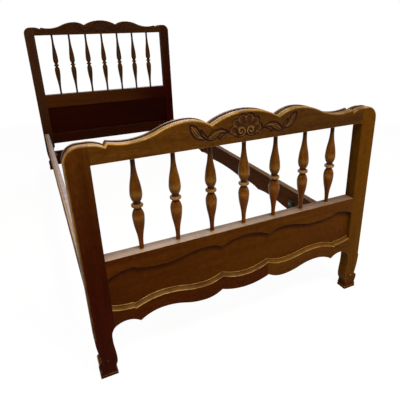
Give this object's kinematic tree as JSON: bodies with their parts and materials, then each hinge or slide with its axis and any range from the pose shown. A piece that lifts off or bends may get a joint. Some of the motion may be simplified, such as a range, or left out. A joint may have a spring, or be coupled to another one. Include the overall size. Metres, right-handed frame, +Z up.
{
  "type": "child's bed frame",
  "caption": "Provincial-style child's bed in brown wood: spindled footboard and taller headboard with carved wavy crests and scroll feet, joined by hooked side rails.",
  "frame": {"origin": "On the floor, under the middle of the bed", "axes": "+X across the bed, to the right when standing at the foot and looking to the head; +Y from the foot to the head; +Z up"},
  "size_m": [0.97, 2.08, 1],
  "materials": {
    "frame_wood": "walnut stain under satin varnish",
    "turned_wood": "walnut stain under satin varnish, turned",
    "panel_wood": "walnut veneer under satin varnish",
    "zinc_steel": "zinc-plated",
    "stud_steel": "dull zinc-plated disc",
    "bolt_steel": "bright hexagon bolt"
  },
  "bodies": {
    "root": {"base_stud_foot_left": "stud_steel", "base_stud_foot_right": "stud_steel", "base_stud_head_left": "stud_steel", "base_stud_head_right": "stud_steel", "footboard_apron": "frame_wood", "footboard_crest_rail": "frame_wood", "footboard_middle_rail": "frame_wood", "footboard_panel": "panel_wood", "footboard_post_left": "frame_wood", "footboard_post_right": "frame_wood", "footboard_slot_plate_left": "zinc_steel", "footboard_slot_plate_right": "zinc_steel", "footboard_spindle_1": "turned_wood", "footboard_spindle_2": "turned_wood", "footboard_spindle_3": "turned_wood", "footboard_spindle_4": "turned_wood", "footboard_spindle_5": "turned_wood", "footboard_spindle_6": "turned_wood", "footboard_spindle_7": "turned_wood", "headboard_bottom_rail": "frame_wood", "headboard_crest_rail": "frame_wood", "headboard_low_rail": "frame_wood", "headboard_middle_rail": "frame_wood", "headboard_panel": "panel_wood", "headboard_post_left": "frame_wood", "headboard_post_right": "frame_wood", "headboard_slot_plate_left": "zinc_steel", "headboard_slot_plate_right": "zinc_steel", "headboard_spindle_1": "turned_wood", "headboard_spindle_2": "turned_wood", "headboard_spindle_3": "turned_wood", "headboard_spindle_4": "turned_wood", "headboard_spindle_5": "turned_wood", "headboard_spindle_6": "turned_wood", "headboard_spindle_7": "turned_wood", "rail_hook_foot_left": "zinc_steel", "rail_hook_foot_right": "zinc_steel", "rail_hook_head_left": "zinc_steel", "rail_hook_head_right": "zinc_steel", "side_rail_left": "frame_wood", "side_rail_right": "frame_wood", "stud_bolts": "bolt_steel"}
  },
  "joints": []
}
